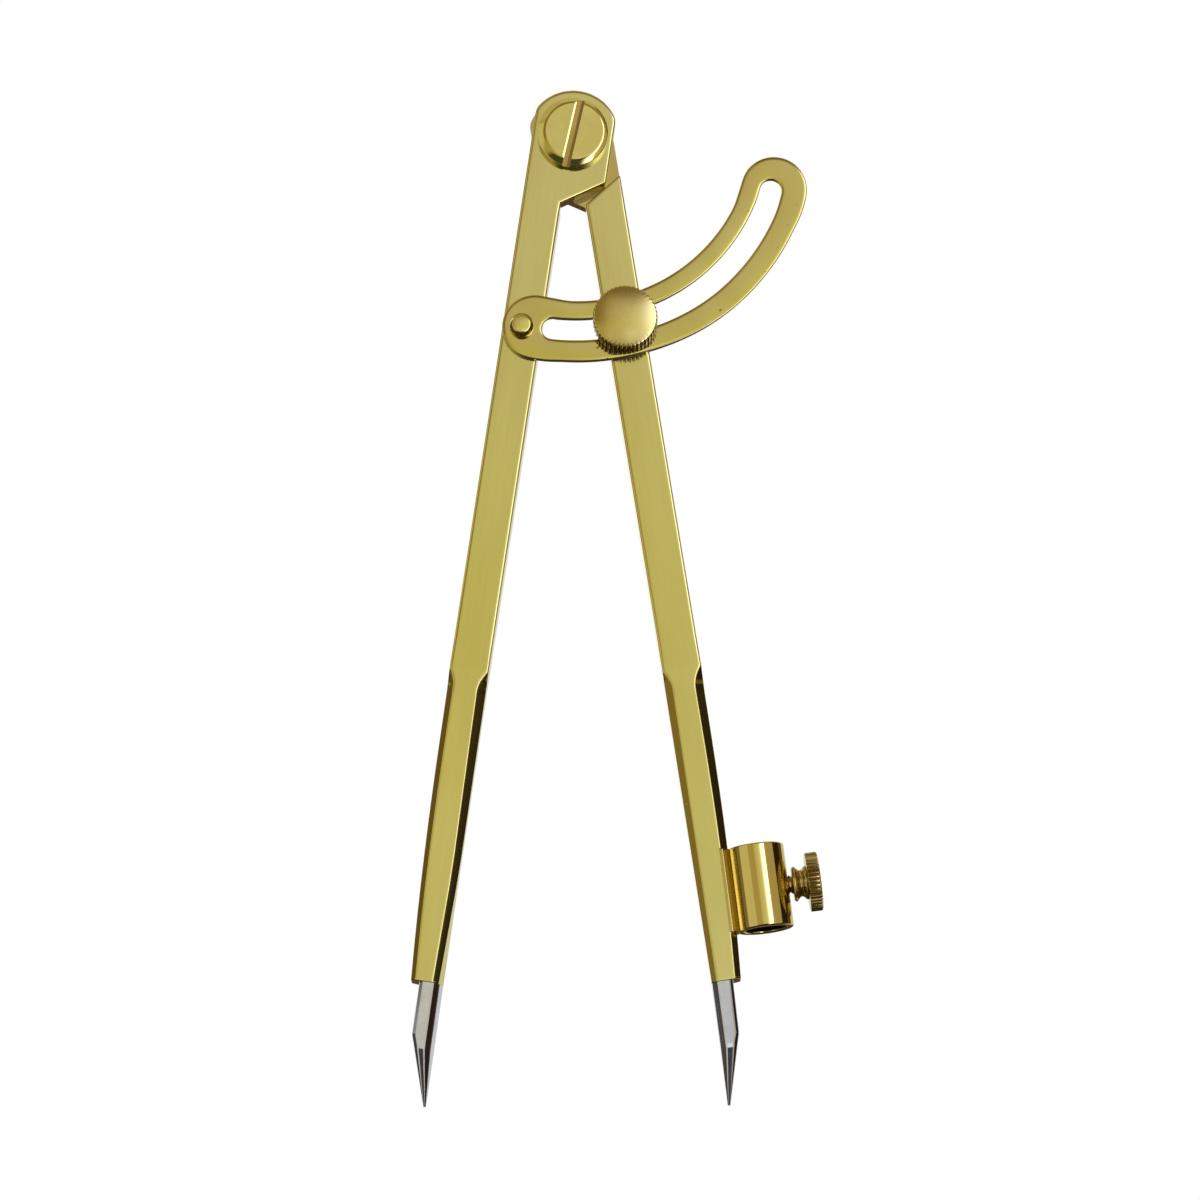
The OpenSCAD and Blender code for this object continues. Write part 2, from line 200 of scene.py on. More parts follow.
def carve(bm, *cutters, operation="DIFFERENCE"):  # on scratch objects, which are removed
    work, *tools = [placed("bench", meshOf("bench", part)) for part in (bm, *cutters)]
    for tool in tools:
        cut = work.modifiers.new("cut", "BOOLEAN")
        cut.operation = operation
        cut.solver = "EXACT"
        cut.object = tool
    result = bmesh.new()
    result.from_object(work, bpy.context.evaluated_depsgraph_get())
    for scrap in [work, *tools]:
        mesh = scrap.data
        bpy.data.objects.remove(scrap)
        bpy.data.meshes.remove(mesh)
    return result


# a screw thread along +Z, cut square at its ends
def thread(radius, depth, pitch, start, end, crest=(0.42, 0.58), steps=48, spare=2):
    bm = bmesh.new()
    shape = [(radius - depth, 0), (radius, crest[0]), (radius, crest[1]), (radius - depth, 1)]
    verts = [bm.verts.new((reach, 0, start - spare * pitch + share * pitch)) for reach, share in shape]
    edges = [bm.edges.new(pair) for pair in zip(verts, verts[1:])]
    turns = int((end - start) / pitch) + 2 * spare
    bmesh.ops.spin(bm, geom=verts + edges, cent=origin, axis=(0, 0, 1), dvec=(0, 0, pitch / steps),
        angle=2 * pi * turns, steps=steps * turns)
    clean(bm)
    sliceOff(bm, (0, 0, start), (0, 0, -1))
    sliceOff(bm, (0, 0, end), (0, 0, 1))
    bmesh.ops.recalc_face_normals(bm, faces=bm.faces[:])
    return bm


def knurl(bm, radius, teeth, depth, slope=1.6):  # straight grooves on the widest band, right through its rims
    for vert in bm.verts:
        reach = Vector((vert.co.x, vert.co.y)).length
        turn = atan2(vert.co.y, vert.co.x) / (2 * pi) * teeth
        wave = abs((turn % 1) * 2 - 1)
        limit = radius - depth * max(0, 1 - wave * slope)
        if reach > limit:
            vert.co.x *= limit / reach
            vert.co.y *= limit / reach


def finishPiece(name, bm, body, material, nodes, sharp=34, second=None, weight=60):
    mesh = meshOf(name, moved(bm, Matrix.Scale(mm, 4)))
    mesh.shade_smooth()
    mesh.set_sharp_from_angle(angle=radians(sharp))
    mesh.materials.append(material)
    piece = placed(name, mesh)
    even = piece.modifiers.new("evenShading", "WEIGHTED_NORMAL")
    even.keep_sharp = True
    even.weight = weight
    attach(piece, body)
    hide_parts(*nodes)
    if second:  # for faces with material index 1
        mesh.materials.append(second)
    print("made", name, len(mesh.polygons), "faces")


# shader helpers

class Link:  # a socket that takes part in sums
    def __init__(self, tree, socket):
        self.tree, self.socket = tree, socket

    def node(self, kind, settings=None, inputs=None, out=0):
        made = self.tree.nodes.new(kind)
        for name, value in (settings or {}).items():
            setattr(made, name, value)
        for name, value in (inputs or {}).items():
            if isinstance(value, Link):
                self.tree.links.new(value.socket, made.inputs[name])
            else:
                made.inputs[name].default_value = value
        return Link(self.tree, made.outputs[out])

    def sum(self, operation, first, second=0.0):
        return self.node("ShaderNodeMath", {"operation": operation}, {0: first, 1: second})

    def __add__(self, other):
        return self.sum("ADD", self, other)

    def __radd__(self, other):
        return self.sum("ADD", other, self)

    def __sub__(self, other):
        return self.sum("SUBTRACT", self, other)

    def __rsub__(self, other):
        return self.sum("SUBTRACT", other, self)

    def __mul__(self, other):
        return self.sum("MULTIPLY", self, other)

    def __rmul__(self, other):
        return self.sum("MULTIPLY", other, self)

    def ramp(self, low, high):  # soft step from 0 to 1
        return self.node("ShaderNodeMapRange", {"interpolation_type": "SMOOTHSTEP"},
            {"Value": self, "From Min": low, "From Max": high})

    def band(self, low, high, soft):  # 1 between two values, with soft ends
        return self.ramp(low - soft, low + soft) * (1 - self.ramp(high - soft, high + soft))

    def part(self, axis):  # x, y or z
        return self.node("ShaderNodeSeparateXYZ", None, {0: self}, axis)

    def length(self):
        return self.node("ShaderNodeVectorMath", {"operation": "LENGTH"}, {0: self}, "Value")

    def mixColour(self, first, second):  # self is the factor
        first = first if isinstance(first, Link) else (*first, 1)
        second = second if isinstance(second, Link) else (*second, 1)
        return self.node("ShaderNodeMix", {"data_type": "RGBA"}, {0: self, 6: first, 7: second}, 2)


def newMaterial(name):
    material = bpy.data.materials.new(name)
    material.use_nodes = True
    tree = material.node_tree
    start = tree.nodes.new("ShaderNodeTexCoord")
    return material, tree.nodes["Principled BSDF"], Link(tree, start.outputs["Object"])


def newMetal(name):
    material, shader, place = newMaterial(name)
    shader.inputs["Metallic"].default_value = 1.0
    return material, shader, place


def feed(shader, socket, link):
    link.tree.links.new(link.socket, shader.inputs[socket])


def emboss(shader, relief, depth=0.0001):
    feed(shader, "Normal", relief.node("ShaderNodeBump", None,
        {"Strength": 1.0, "Distance": depth, "Height": relief}))


def noise(place, scale, detail=2.0, rough=0.5):
    return place.node("ShaderNodeTexNoise", {"noise_dimensions": "3D"},
        {"Vector": place, "Scale": scale, "Detail": detail, "Roughness": rough})


def laid(place, spot=(0, 0, 0), turn=(0, 0, 0), size=(1, 1, 1)):  # the pattern's own place, turn and size
    return place.node("ShaderNodeMapping", {"vector_type": "TEXTURE"},
        {"Vector": place, "Location": spot, "Rotation": turn, "Scale": size})


# finishes

polish = {"lineStretch": 40, "cloudStretch": 4, "waveStretch": 7, "lineDetail": (3.0, 0.6),
    "lineRange": (0.35, 0.7), "cloudRange": (0.35, 0.65), "fineScale": 2600, "fineRough": 0.02,
    "pitScale": 900, "pitRange": (0.76, 0.80), "pitTone": (0.10, 0.06, 0.02), "pitRough": 0.2,
    "pitDepth": 0.02}


def polishedBrass(name, lean, look):
    material, shader, place = newMetal(name)
    along = laid(place, turn=(0, lean, 0))
    lines = noise(laid(along, size=(1, 1, polish["lineStretch"])), look["lineScale"], *polish["lineDetail"])
    cloud = noise(laid(along, size=(1, 1, polish["cloudStretch"])), look["cloudScale"])
    wave = noise(laid(along, size=(1, 1, polish["waveStretch"])), look["waveScale"], 1.0)
    fine = noise(place, polish["fineScale"])
    pits = noise(place, polish["pitScale"], 1.0).ramp(*polish["pitRange"])
    tone = cloud.ramp(*polish["cloudRange"]).mixColour(look["deep"], look["bright"])
    tone = (lines.ramp(*polish["lineRange"]) * look["lineTint"]).mixColour(tone, look["shade"])
    tone = (pits * look["pits"]).mixColour(tone, polish["pitTone"])
    if "paintedShadeAcross" in look:  # painted shade: darker across the piece
        low, high, dark = look["paintedShadeAcross"]
        tone = along.part(0).ramp(low * mm, high * mm).mixColour(tone, dark)
    feed(shader, "Base Color", tone)
    rough = look["rough"] + lines * look["lineRough"] + fine * polish["fineRough"] + pits * polish["pitRough"]
    feed(shader, "Roughness", rough)
    emboss(shader, wave * look["wave"] + lines * look["lineDepth"] - pits * polish["pitDepth"])
    return material


turning = {"lift": 0.3, "ringDetail": (2.0, 0.6), "ringRange": (0.4, 0.7), "cloudScale": 260,
    "cloudRange": (0.35, 0.65), "fineScale": 3000, "fineRough": 0.02, "wallSoft": 0.1}


def turnedBrass(name, spot, turn, look):
    material, shader, place = newMetal(name)
    own = laid(place, spot=[value * mm for value in spot], turn=turn)  # the piece's axis becomes Z
    flat = own.node("ShaderNodeVectorMath", {"operation": "MULTIPLY"}, {0: own, 1: (1, 1, 0)})
    height = own.part(2)
    track = own.node("ShaderNodeCombineXYZ", None, {0: flat.length(), 1: height * turning["lift"]})
    rings = noise(track, look["ringScale"], *turning["ringDetail"])
    cloud = noise(own, turning["cloudScale"])
    fine = noise(own, turning["fineScale"])
    tone = cloud.ramp(*turning["cloudRange"]).mixColour(look["deep"], look["bright"])
    tone = (rings.ramp(*turning["ringRange"]) * look["ringTint"]).mixColour(tone, look["shade"])
    if "wall" in look:  # painted shade: the knurled band is darkened, standing in for the shade and dark reflections on its wall
        low, high, share = look["wall"]
        wall = height.band(low * mm, high * mm, turning["wallSoft"] * mm)
        tone = (wall * share).mixColour(tone, look["paintedWallShade"])
    feed(shader, "Base Color", tone)
    feed(shader, "Roughness", look["rough"] + rings * look["ringRough"] + fine * turning["fineRough"])
    emboss(shader, rings * look["ringDepth"] + fine * look["grain"])
    return material


def groundSteel(name, lean, look):
    material, shader, place = newMetal(name)
    along = laid(place, turn=(0, lean, 0))
    across = look["lineStretch"]  # ground across the point
    lines = noise(laid(along, size=(across, across, 1)), look["lineScale"], *look["lineDetail"])
    cloud = noise(along, look["cloudScale"])
    tone = cloud.ramp(*look["cloudRange"]).mixColour(look["deep"], look["bright"])
    tone = (lines.ramp(*look["lineRange"]) * look["lineTint"]).mixColour(tone, look["shade"])
    feed(shader, "Base Color", tone)
    feed(shader, "Roughness", look["rough"] + lines * look["lineRough"])
    emboss(shader, lines * look["lineDepth"] + cloud * look["cloudDepth"])
    return material


brassLook = {"bright": (0.74, 0.63, 0.21), "deep": (0.70, 0.58, 0.18), "shade": (0.60, 0.48, 0.13)}
legLook = {**brassLook, "bright": (0.745, 0.68, 0.23), "deep": (0.705, 0.63, 0.20), "rough": 0.07,
    "lineScale": 2400, "lineTint": 0.16, "lineRough": 0.05, "lineDepth": 0.0012,
    "cloudScale": 90, "waveScale": 170, "wave": 0.10, "pits": 0.0}
wingLook = {**brassLook, "bright": (0.69, 0.605, 0.185), "deep": (0.63, 0.535, 0.135), "rough": 0.05,
    "lineScale": 1900, "lineTint": 0.12, "lineRough": 0.04, "lineDepth": 0.0012,
    "cloudScale": 70, "waveScale": 120, "wave": 0.12, "pits": 0.8}
tubeLook = {**wingLook, **brassLook, "wave": 0.04, "pits": 0.0, "lineTint": 0.08}
# painted shade: the pad, between the leg and the tube, gets darker brass than the tube
padLook = {**tubeLook, "bright": (0.60, 0.47, 0.15), "deep": (0.50, 0.38, 0.11), "rough": 0.16}
# painted shade: the lap faces, in the recess under the other leg's head, get darker brass; they are rougher
# too
lapLook = {**legLook, "bright": (0.64, 0.51, 0.16), "deep": (0.58, 0.45, 0.13), "rough": 0.11,
    "lineTint": 0.05, "lineDepth": 0.0}
# painted shade: the slot floor is darkened across its width towards its right wall, standing in for the
# slot's shade
slotLook = {**brassLook, "bright": (0.62, 0.46, 0.12), "deep": (0.52, 0.37, 0.09), "rough": 0.10,
    "lineScale": 3000, "lineTint": 0.5, "lineRough": 0.06, "lineDepth": 0.003,
    "cloudScale": 400, "waveScale": 170, "wave": 0.02, "pits": 0.0, "paintedShadeAcross": (0.1, 0.5, (0.26, 0.17, 0.04))}
screwLook = {**brassLook, "bright": (0.78, 0.69, 0.205), "deep": (0.74, 0.64, 0.175), "rough": 0.06,
    "ringScale": 5200, "ringTint": 0.10, "ringRough": 0.04, "ringDepth": 0.0015, "grain": 0.0002}
# the wall band of each knob is darkened with painted shade
knobLook = {**brassLook, "rough": 0.14, "ringScale": 6400, "ringTint": 0.14, "ringRough": 0.04,
    "ringDepth": 0.0015, "grain": 0.0002, "wall": (4.8, 9.6, 0.85), "paintedWallShade": (0.20, 0.12, 0.03)}
clampLook = {**knobLook, "rough": 0.18, "bright": (0.56, 0.44, 0.15), "deep": (0.46, 0.35, 0.11),
    "wall": (2.8, 4.9, 0.3)}
steelLook = {"bright": (0.70, 0.725, 0.83), "deep": (0.64, 0.665, 0.77), "shade": (0.49, 0.51, 0.59),
    "rough": 0.06, "lineStretch": 12, "lineScale": 5200, "lineDetail": (3.0, 0.65),
    "lineRange": (0.45, 0.75), "lineTint": 0.35, "lineRough": 0.05, "lineDepth": 0.0015,
    "cloudScale": 320, "cloudRange": (0.35, 0.65), "cloudDepth": 0.01}

frontTurn = (radians(90), 0, 0)
sideTurn = (0, radians(90) + holderLean - spread, 0)
wingLean, slotLean = radians(-25), radians(13)
leftBrass = polishedBrass("leftLegBrass", spread, legLook)
rightBrass = polishedBrass("rightLegBrass", -spread, legLook)
lapBrass = polishedBrass("lapBrass", 0, lapLook)
wingBrass = polishedBrass("wingBrass", wingLean, wingLook)
tubeBrass = polishedBrass("holderBrass", holderLean - spread, tubeLook)
padBrass = polishedBrass("padBrass", holderLean - spread, padLook)
screwBrass = turnedBrass("pivotBrass", origin, frontTurn, screwLook)
slotBrass = polishedBrass("slotBrass", slotLean, slotLook)
rivetBrass = turnedBrass("rivetBrass", onLeft @ rivetSpot, frontTurn, screwLook)
knobBrass = turnedBrass("lockBrass", onRight @ lockSpot, frontTurn, knobLook)
clampBrass = turnedBrass("clampBrass", onHolder @ clampSpot, sideTurn, clampLook)
leftSteel = groundSteel("leftPointSteel", spread, steelLook)
rightSteel = groundSteel("rightPointSteel", -spread, steelLook)
print("finishes ready")


# legs

legSize = {
    "outer": 7.8, "inner": 0.3, "half": 3.7, "edge": 0.42, "edgeSteps": 5, "fold": 17, "neck": 16,
    "headRadius": 8.75, "headRise": 0.3, "headSteps": 30, "headCorner": 3.0, "cornerSteps": 8,
    "headDrop": 13.8, "lap": radians(33), "gap": 0.7,
    "taperStart": 107, "end": 167.5, "endHalf": 2.85, "endEdge": 0.14, "bow": 2.5, "shoulder": (0.15, 7),
    "lowEdge": 0.3, "crisp": (6, 12), "chamferDepth": 0.84, "leastCut": 0.004, "runOut": 8.5,
    "draftStart": 146, "upperRings": (6, 3, 0.4), "runRings": (0.06, 0.34, 16),
    "lowRings": range(12, 61, 6),
    "rim": 0.36, "rimRise": 0.04, "rimFade": (4, 8)}
leftLegSize = {**legSize, "endOuter": 6.05, "draft": 0.75}
rightLegSize = {**legSize, "endOuter": 5.6, "draft": 0.0}


def headBlock(leg):  # the head and the first stretch of the bar, open below
    bm = bmesh.new()
    outer, inner, half, neck = leg["outer"], leg["inner"], leg["half"], leg["neck"]
    soft = leg["headCorner"]
    side = sqrt((leg["headRadius"] - soft) ** 2 - (outer - soft) ** 2)
    turn = atan2(side, outer - soft)
    level = leg["headRise"] + side
    arcs = [((soft - outer, 0, level), turn, leg["cornerSteps"]),
        ((0, 0, leg["headRise"]), pi - 2 * turn, leg["headSteps"]),
        ((outer - soft, 0, level), turn, leg["cornerSteps"])]
    arcPath(bm, bm.verts.new((-outer, -half, level)),
        [(Vector(centre), (0, 1, 0), angle, steps) for centre, angle, steps in arcs])
    top = sorted(bm.verts, key=lambda vert: vert.co.x)
    corner = (outer + inner) * tan(leg["lap"]) - leg["headDrop"]
    rest = [(outer, corner), (-inner, -leg["headDrop"]), (-inner, -neck), (-outer, -neck)]
    face = bm.faces.new(top + [bm.verts.new((x, -half, z)) for x, z in rest])

    def onLap():
        return [f for f in bm.faces if all(abs(v.co.y) < tiny for v in f.verts)]

    push(bm, [face], half)
    bmesh.ops.recalc_face_normals(bm, faces=bm.faces[:])
    lap = onLap()[0]
    bmesh.ops.bisect_plane(bm, geom=[lap, *lap.edges, *lap.verts], dist=hair,
        plane_co=(inner, 0, -leg["headDrop"] - leg["gap"]), plane_no=(sin(leg["lap"]), 0, cos(leg["lap"])))
    lower = min(onLap(), key=lambda f: f.calc_center_median().z)
    push(bm, [lower], half)
    if lower.is_valid:  # the old face would lie inside the bar
        bmesh.ops.delete(bm, geom=[lower], context="FACES_ONLY")
    ends = [f for f in bm.faces if all(abs(v.co.z + neck) < tiny for v in f.verts)]
    bmesh.ops.delete(bm, geom=ends, context="FACES")
    clean(bm)
    folds = cornerEdges(bm, leg["fold"])
    outline = [e for e in folds if all(abs(abs(v.co.y) - half) < tiny for v in e.verts)]
    sides = [e for e in folds if abs(e.verts[0].co.y - e.verts[1].co.y) > half / 2 and e.is_convex]
    roundOff(bm, outline + sides, leg["edge"], leg["edgeSteps"])
    return bm


def legBar(leg, chamfers):  # drawn closed, inner face beside the middle plane
    bm = headBlock(leg)
    half, edge, taperStart = leg["half"], leg["edge"], leg["taperStart"]
    ring = [e for e in bm.edges if e.is_boundary and all(abs(v.co.z + leg["neck"]) < slack for v in e.verts)]
    angles = [0, pi / 8, pi / 4, pi / 4, 3 * pi / 8, pi / 2]  # three places at each end of a chamfer
    roles = {}
    for vert in {v for e in ring for v in e.verts}:  # which corner, and which place on its rounding
        sx = 1 if vert.co.x > -(leg["outer"] + leg["inner"]) / 2 else -1
        sy = 1 if vert.co.y > 0 else -1
        centre = Vector((-edge - leg["inner"] if sx > 0 else edge - leg["outer"], sy * (half - edge)))
        off = Vector(((vert.co.x - centre.x) * sx, (vert.co.y - centre.y) * sy))
        turn = round(degrees(atan2(off.x, off.y)) / (90 / leg["edgeSteps"])) if abs(vert.co.y) > 0.1 else None
        roles[spotKey(vert.co, 5)] = (sx, sy, turn)

    def cutSize(start, end, share, drop):  # a chamfer runs out in an arc above the taper
        runOut, depth = leg["runOut"], start / sqrt(2)
        run = sqrt(2 * runOut * depth - depth ** 2)
        size = start + (end - start) * share
        above = taperStart + run - drop
        if above <= 0:
            return size
        return size - sqrt(2) * (runOut - sqrt(max(0, runOut ** 2 - above ** 2))) if above < run else 0

    def section(role, drop, inset):
        sx, sy, turn = role
        share = clamped((drop - taperStart) / (leg["end"] - taperStart))
        step, length = leg["shoulder"]
        outer = leg["outer"] - step * eased((drop - taperStart) / length)
        outer -= (leg["outer"] - step - leg["endOuter"]) * share ** leg["bow"]
        side = inset + leg["inner"] * (1 - share) if sx > 0 else outer - inset
        high = half + (leg["endHalf"] - half) * share - inset
        if turn is None:
            return Vector((-side, 0, -drop))
        lead, length = leg["crisp"]
        curve = edge + (leg["lowEdge"] - edge) * clamped((drop - taperStart + lead) / length)
        tangent = curve * tan(pi / 8)
        size = cutSize(*chamfers[(sx, sy)], share, drop)
        least = curve - tangent + leg["leastCut"]
        size, deep = max(least, size), max(least, size * leg["chamferDepth"])
        spot = Vector((-size - tangent, -curve)) if turn < 3 else Vector((-curve, -deep - tangent))
        spot += curve * Vector((sin(angles[turn]), cos(angles[turn])))
        if (sx, sy) == (1, -1):  # this side falls away towards the point
            spot.x -= leg["draft"] * max(0, (drop - leg["draftStart"]) / (leg["end"] - leg["draftStart"]))
        return Vector((-side + sx * spot.x, sy * (high + spot.y), -drop))

    first, step, count = leg["runRings"]
    drops = [taperStart - above for above in leg["upperRings"]]
    drops += [taperStart + first + step * i for i in range(count)]
    drops += [taperStart + below for below in leg["lowRings"]]
    rings = [(drop, 0.0) for drop in drops]
    ease = leg["endEdge"]
    rings += [(leg["end"] - ease * (1 - sin(a)), ease * (1 - cos(a))) for a in (0, pi / 6, pi / 3, pi / 2)]
    for drop, inset in rings:
        drawn = bmesh.ops.extrude_edge_only(bm, edges=ring)["geom"]
        fresh = {}
        for vert in vertsOf(drawn):
            role = roles[spotKey(vert.co, 5)]
            vert.co = section(role, drop, inset)
            fresh[spotKey(vert.co, 5)] = role
        roles = fresh
        ring = [e for e in edgesOf(drawn) if all(abs(v.co.z + drop) < tiny for v in e.verts)]
    bmesh.ops.contextual_create(bm, geom=ring)
    bmesh.ops.recalc_face_normals(bm, faces=bm.faces[:])
    lead, length = leg["rimFade"]
    for way in (-1, 1):
        flat = [f for f in bm.faces
            if f.normal.y * way > faceOn and f.calc_center_median().y * way > half / 2]
        softRim(bm, flat, leg["rim"], leg["rimRise"])
        for vert in {v for f in flat for v in f.verts}:  # only the upper part is worn
            vert.co.y -= way * leg["rimRise"] * eased((-vert.co.z - taperStart + lead) / length)
    return bm


def markLap(bm, gap=0.04):  # the rubbing faces of the heads, each a hair back from the other
    lap = [f for f in bm.faces if abs(f.calc_center_median().y) < 0.05 and abs(f.normal.y) > 0.9]
    for face in lap:
        face.material_index = 1
    back = -gap if lap[0].normal.y > 0 else gap
    bmesh.ops.translate(bm, vec=(0, back, 0), verts=list({v for f in lap for v in f.verts}))
    return bm


# chamfer width at its start and end, for each corner: (1, -1) is inner and front on the drawn leg
leftChamfers = {(-1, -1): (1.2, 0.9), (1, -1): (1.75, 1.15), (1, 1): (1.6, 1.05), (-1, 1): (1.6, 1.05)}
rightChamfers = {(-1, 1): (1.75, 1.15), (1, 1): (1.5, 1.0), (1, -1): (1.6, 1.05), (-1, -1): (1.6, 1.05)}
holes = {"leftPivot": (3.05, -2, 6), "rightPivot": (3.05, -6, 2), "rivet": (1.52, -1.75, 6),
    "wingRivet": (1.52, 0, 9), "stud": (1.3, -1.75, 6), "tang": (1.32, 0, 13.5)}  # radius, start, end
padNotch = ((-1.2, -7.5, -8), (2.4, 7.5, 8))
atTang = Matrix.Translation((-2.225, 0, -168.5))
atRivet = onLeft @ Matrix.Translation(rivetSpot) @ toFront

leftBar = carve(moved(legBar(leftLegSize, leftChamfers), onLeft),
    moved(bar(*holes["leftPivot"]), toFront),
    moved(bar(*holes["rivet"]), atRivet),
    moved(bar(*holes["tang"]), onLeft @ atTang))
finishPiece("leftLeg", markLap(leftBar), "left_side", leftBrass, ["left_leg"],
    second=lapBrass)

rightBar = carve(moved(legBar(rightLegSize, rightChamfers), onRight @ halfTurn),
    moved(bar(*holes["rightPivot"]), toFront),
    moved(bar(*holes["stud"]), onRight @ Matrix.Translation(lockSpot) @ toFront),
    moved(bar(*holes["tang"]), onRight @ halfTurn @ atTang),
    moved(block(*padNotch), onHolder))
finishPiece("rightLeg", markLap(rightBar), "right_side", rightBrass, ["right_leg"],
    second=lapBrass)


# steel points

pointSize = {"half": 2.75, "top": -167.5, "tip": -190.6, "tipWidth": 0.5, "tipHalf": 0.22, "outerSlope": 13,
    "faceSlope": 10.4, "innerCut": 1.15, "cutDepth": 0.84, "slopeCut": 0.9, "slopeBlend": 1.6,
    "leastShare": 0.12, "faceBow": 0.8, "slopeBow": 0.9, "edge": 0.16,
    "rises": (13.2, 12.8, 11.4, 10.6, 10.2, 7, 3.5, 0), "tang": (1.3, -0.5, 12, 40), "tangMiddle": -2.225}
leftPointSize = {**pointSize, "width": 4.45, "lean": -0.28, "outerLean": 0.1, "outerCut": 0.8, "draft": 0.6}
rightPointSize = {**pointSize, "width": 4.1, "lean": -0.68, "outerLean": 0.5, "outerCut": 0.7,
    "cutDepth": 1.0, "draft": 0.0}


def steelPoint(point):  # rings of a bar with cut corners, from the brass end down to the tip
    bm = bmesh.new()
    length, least = point["top"] - point["tip"], point["leastShare"]

    def section(rise):
        slope, face = clamped(rise / point["outerSlope"]), clamped(rise / point["faceSlope"])
        right = -point["lean"] * (1 - rise / length)
        tip = -point["lean"] - point["tipWidth"]
        down = clamped((length - rise) / (length - point["outerSlope"]))
        shoulder = point["outerLean"] * down - point["width"]
        left = tip + (shoulder - tip) * slope
        deep = point["tipHalf"] + (point["half"] - point["tipHalf"]) * face
        small = max(least, face ** point["faceBow"])
        near, draft, soft = point["innerCut"] * small, point["draft"] * small, point["edge"] * small
        low = near * point["cutDepth"]
        below = clamped((point["outerSlope"] - rise) / point["slopeBlend"])  # the slope's own facet
        far = point["outerCut"] + (point["slopeCut"] - point["outerCut"]) * below
        far *= max(least, slope ** point["slopeBow"])
        corners = [(left + far, -deep), (right - near - draft, -deep), (right - draft, low - deep),
            (right, 0), (right, deep - low), (right - near, deep), (left + far, deep),
            (left, deep - far), (left, far - deep)]
        spots = []
        for i, corner in enumerate(corners):  # each corner becomes two, for a soft edge
            here = Vector(corner)
            for other in (corners[i - 1], corners[(i + 1) % len(corners)]):
                spot = here + (Vector(other) - here).normalized() * soft
                spots.append(Vector((spot.x, spot.y, point["tip"] + rise)))
        return spots

    rises = [length, *point["rises"]]
    verts = [bm.verts.new(spot) for spot in section(length)]
    ring = [bm.edges.new((verts[i - 1], verts[i])) for i in range(len(verts))]
    bm.faces.new(verts)
    for above, rise in zip(rises, rises[1:]):
        place = dict(zip([spotKey(spot, 4) for spot in section(above)], section(rise)))
        drawn = bmesh.ops.extrude_edge_only(bm, edges=ring)["geom"]
        for vert in vertsOf(drawn):
            vert.co = place[spotKey(vert.co, 4)]
        ring = [e for e in edgesOf(drawn) if all(abs(v.co.z - point["tip"] - rise) < tiny for v in e.verts)]
    bmesh.ops.contextual_create(bm, geom=ring)
    bmesh.ops.recalc_face_normals(bm, faces=bm.faces[:])
    return joined(bm, moved(bar(*point["tang"]), Matrix.Translation((point["tangMiddle"], 0, point["top"]))))


finishPiece("leftPoint", moved(steelPoint(leftPointSize), onLeft), "left_side", leftSteel,
    ["left_point"], sharp=12)
finishPiece("rightPoint", moved(steelPoint(rightPointSize), onRight @ halfTurn), "right_side", rightSteel,
    ["right_point"], sharp=12)


# wing

wingSize = {"radius": 39.3, "half": 6.0, "endHalf": 6.3, "blend": 9, "shift": 1.1,
    "start": radians(-3.85), "end": radians(82.3), "belly": 0.45, "bellyRise": (21, 30),
    "bellyFall": (74, 14), "slotRadius": 39.1, "slotHalf": 2.05, "slotShift": 0.7,
    "slotStart": radians(1.7), "slotEnd": radians(81.6), "slotBelly": 0.45, "thickness": 1.12,
    "frontEdge": (0.22, 4), "backEdge": (0.15, 2), "rim": 0.55, "rimRise": 0.08,
    "armSteps": 84, "capSteps": 28, "fold": 60}


def trackLoop(bm, middle, radius, half, start, end, wing):  # outline round an arc-shaped track
    known = set(bm.verts)

    def spot(reach, angle):
        return middle + Vector((reach * sin(angle), frontFace, -reach * cos(angle)))

    ahead, back = (0, -1, 0), (0, 1, 0)
    walk = [(middle, ahead, end - start, wing["armSteps"]), (spot(radius, end), ahead, pi, wing["capSteps"]),
        (middle, back, end - start, wing["armSteps"]), (spot(radius, start), ahead, pi, wing["capSteps"])]
    arcPath(bm, bm.verts.new(spot(radius + half, start)), walk)
    bmesh.ops.remove_doubles(bm, verts=[v for v in bm.verts if v not in known], dist=slack)
    return [v for v in bm.verts if v not in known]


